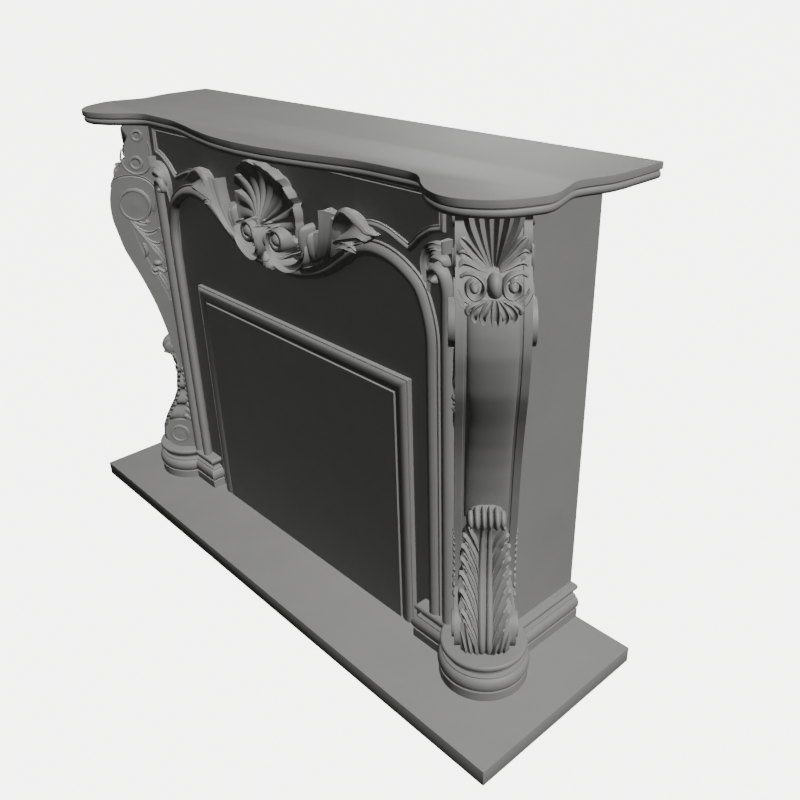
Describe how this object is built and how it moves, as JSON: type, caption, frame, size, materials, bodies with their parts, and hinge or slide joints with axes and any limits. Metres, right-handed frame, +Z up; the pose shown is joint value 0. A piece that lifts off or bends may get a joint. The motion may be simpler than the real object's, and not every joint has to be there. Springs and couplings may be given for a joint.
{
  "type": "carved fireplace",
  "caption": "Carved stone fireplace with a shaped mantel shelf, canted scroll consoles, a shell cartouche over an arched front and a closed fire panel.",
  "frame": {"origin": "centre of the underside of the hearth slab's box", "axes": "+Z up, -Y towards the room, +Y towards the wall, +X to the right when seen from the room"},
  "size_m": [1.7, 0.511, 1.1806],
  "materials": {
    "honed_stone": "honed, matt",
    "carved_stone": "carved and rubbed, matt"
  },
  "bodies": {
    "root": {"hearth_slab": "honed_stone", "plinth_left": "honed_stone", "plinth_right": "honed_stone", "return_left": "honed_stone", "return_right": "honed_stone", "carved_front": "carved_stone", "tympanum": "honed_stone", "fire_frame": "honed_stone", "fire_panel": "honed_stone", "console_left": "carved_stone", "console_right": "carved_stone", "mantel_shelf": "honed_stone"}
  },
  "joints": []
}
